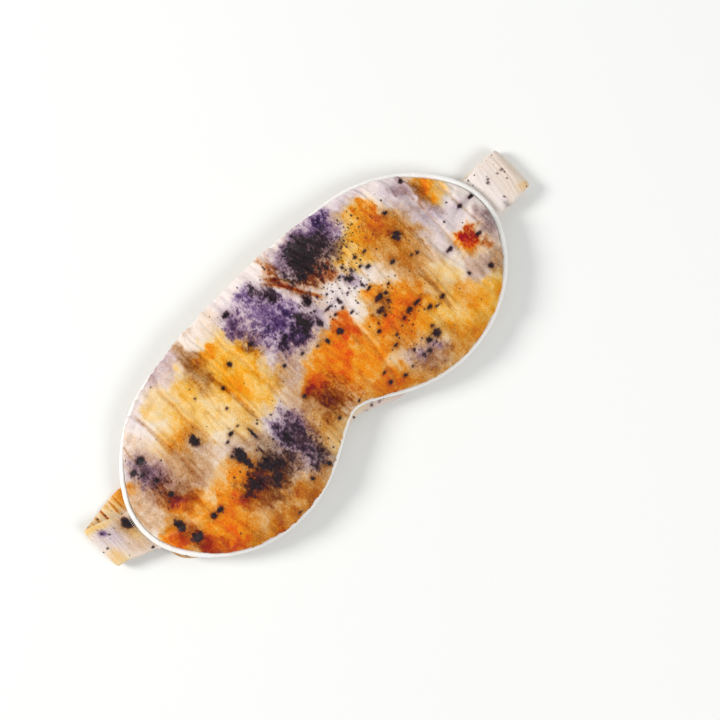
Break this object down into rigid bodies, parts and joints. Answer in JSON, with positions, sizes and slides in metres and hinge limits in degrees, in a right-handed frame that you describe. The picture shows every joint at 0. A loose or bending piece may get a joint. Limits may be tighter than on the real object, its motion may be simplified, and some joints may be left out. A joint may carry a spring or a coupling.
{
  "type": "sleep mask",
  "caption": "Padded silk sleep mask with covered piping, a nose notch and a gathered elastic strap that folds behind it and opens to go round the head.",
  "frame": {"origin": "on the surface that the folded strap lies on, under the middle of the mask's box", "axes": "+X along the strap from one side seam to the other, +Y towards the brow edge, +Z out of the dyed front face"},
  "size_m": [0.25, 0.0965, 0.0193],
  "materials": {
    "dyed_silk": "hand-dyed silk satin in orange, gold, violet and pale pink, soft sheen",
    "pale_silk": "pale cream silk satin with a few dye specks, soft sheen",
    "satin": "ivory satin bias strip, soft sheen",
    "strap_silk": "gathered pale silk with gold and violet dye, soft sheen",
    "wadding": "white polyester wadding, matt",
    "blackout_cloth": "black woven interlining, matt",
    "cotton_cord": "soft white cotton cord, matt",
    "elastic": "white knitted elastic, matt",
    "thread": "ivory polyester thread"
  },
  "bodies": {
    "strap_middle": {"sleeve_middle": "strap_silk", "elastic_middle": "elastic"},
    "left_rear": {"sleeve_left_rear": "strap_silk", "elastic_left_rear": "elastic"},
    "left_wing": {"sleeve_left_wing": "strap_silk", "elastic_left_wing": "elastic"},
    "mask": {"front_panel": "dyed_silk", "front_wadding": "wadding", "blackout_interlining": "blackout_cloth", "back_wadding": "wadding", "back_panel": "pale_silk", "piping_cover": "satin", "piping_cord": "cotton_cord", "seam_stitching": "thread", "sleeve_ends": "strap_silk", "elastic_ends": "elastic", "bar_tacks": "thread"},
    "right_rear": {"sleeve_right_rear": "strap_silk", "elastic_right_rear": "elastic"},
    "right_wing": {"sleeve_right_wing": "strap_silk", "elastic_right_wing": "elastic"}
  },
  "joints": [
    {"name": "left_seam", "type": "hinge", "parent": "left_wing", "child": "mask", "pos_m": [-0.105, -0.0024, 0.00675], "axis": [0, 1, 0], "range_deg": [0, 90]},
    {"name": "left_fold", "type": "hinge", "parent": "left_rear", "child": "left_wing", "pos_m": [-0.1193, 0.0046, 0.0057], "axis": [0, -1, 0], "range_deg": [0, 119.7]},
    {"name": "left_bend", "type": "hinge", "parent": "strap_middle", "child": "left_rear", "pos_m": [-0.012, 0.0014, 0.0024], "axis": [0, 1, 0], "range_deg": [0, 29.7]},
    {"name": "right_bend", "type": "hinge", "parent": "strap_middle", "child": "right_rear", "pos_m": [0.012, 0.0008, 0.0024], "axis": [0, -1, 0], "range_deg": [0, 29.7]},
    {"name": "right_fold", "type": "hinge", "parent": "right_rear", "child": "right_wing", "pos_m": [0.1193, -0.0024, 0.0057], "axis": [0, 1, 0], "range_deg": [0, 119.7]}
  ],
  "couplings": [
    {"joint": "left_fold", "follows": "left_seam", "ratio": 1.33},
    {"joint": "left_bend", "follows": "left_seam", "ratio": 0.33},
    {"joint": "right_bend", "follows": "left_seam", "ratio": 0.33},
    {"joint": "right_fold", "follows": "left_seam", "ratio": 1.33}
  ]
}
